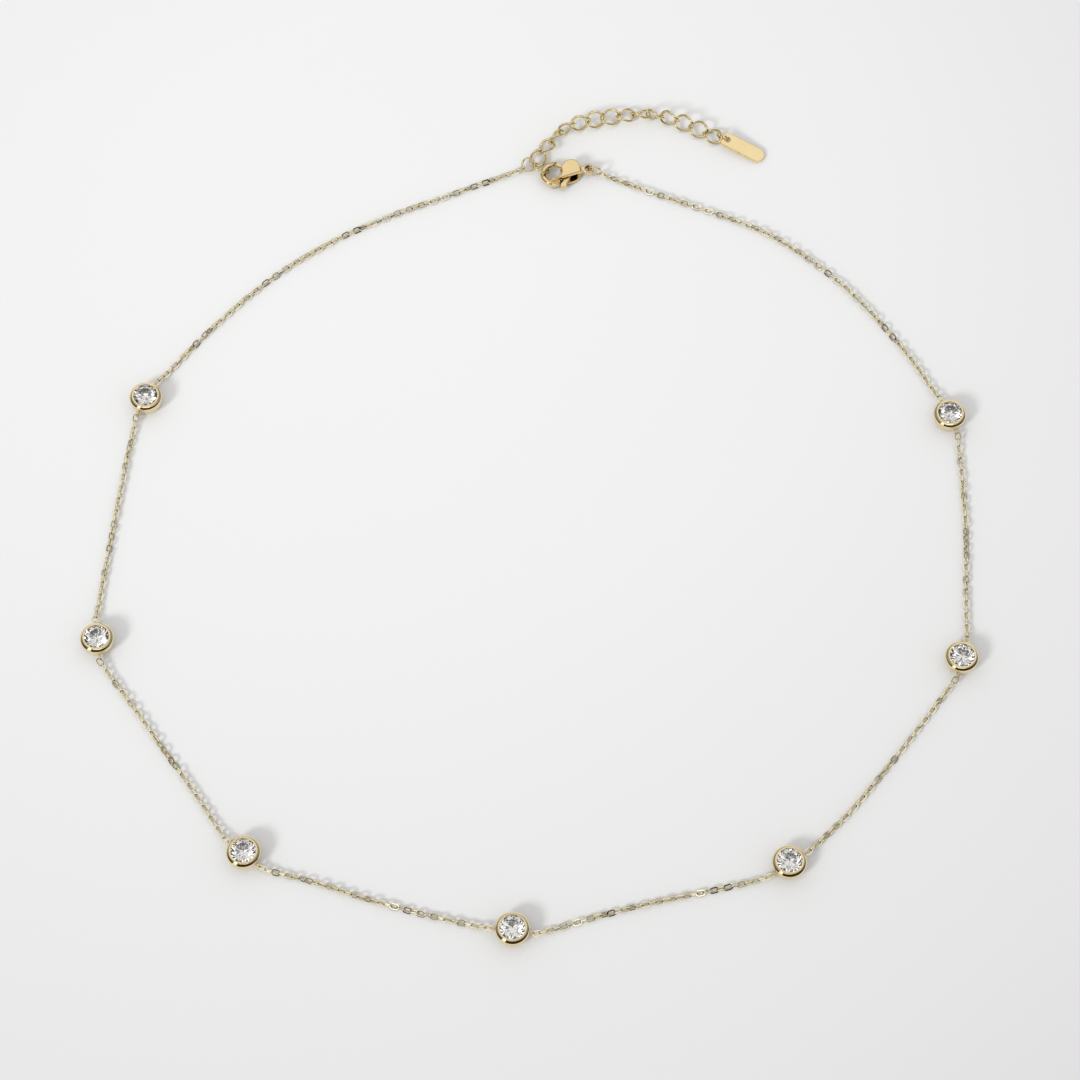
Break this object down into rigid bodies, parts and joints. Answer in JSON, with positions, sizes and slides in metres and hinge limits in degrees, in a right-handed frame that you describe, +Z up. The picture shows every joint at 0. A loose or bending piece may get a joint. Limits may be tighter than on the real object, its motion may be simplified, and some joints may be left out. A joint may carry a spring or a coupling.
{
  "type": "station necklace with round settings",
  "caption": "Closed loop of fine cable chain with round stones in bulged round settings, a lobster clasp, and a short extender chain with a plain tag, laid flat.",
  "frame": {"origin": "middle of the part's box at the level of the surface it lies on", "axes": "+Z up from the surface, +Y across the loop from its lowest station towards the clasp, +X to the right seen from above"},
  "size_m": [0.133, 0.1414, 0.0029],
  "materials": {
    "setting_gold": "polished pale gold plating",
    "chain_gold": "bright pale gold plating on fine wire",
    "ring_gold": "polished pale gold plating on wire",
    "extender_gold": "polished pale gold plating on twisted wire",
    "clasp_gold": "polished gold plating with fine tumbled texture",
    "tag_gold": "satin gold plating",
    "clear_stone": "clear faceted stone"
  },
  "bodies": {
    "necklace": {"setting_1": "setting_gold", "setting_2": "setting_gold", "setting_3": "setting_gold", "setting_4": "setting_gold", "setting_5": "setting_gold", "setting_6": "setting_gold", "setting_7": "setting_gold", "stone_1": "clear_stone", "stone_2": "clear_stone", "stone_3": "clear_stone", "stone_4": "clear_stone", "stone_5": "clear_stone", "stone_6": "clear_stone", "stone_7": "clear_stone", "chain_1": "chain_gold", "chain_2": "chain_gold", "chain_3": "chain_gold", "chain_4": "chain_gold", "chain_5": "chain_gold", "chain_6": "chain_gold", "chain_7": "chain_gold", "chain_8": "chain_gold", "end_ring": "ring_gold", "joining_ring": "ring_gold", "extender": "extender_gold", "tag_ring": "ring_gold", "tag": "tag_gold", "clasp_body": "clasp_gold", "clasp_ring": "ring_gold"},
    "lever": {"clasp_lever": "clasp_gold"}
  },
  "joints": [
    {"name": "lever_hinge", "type": "hinge", "parent": "necklace", "child": "lever", "pos_m": [0.00618, 0.0584, 0.0011], "axis": [0, 0, 1], "range_deg": [0, 25], "stiffness_Nm_per_rad": 0.0005, "springref_deg": -11.46}
  ]
}
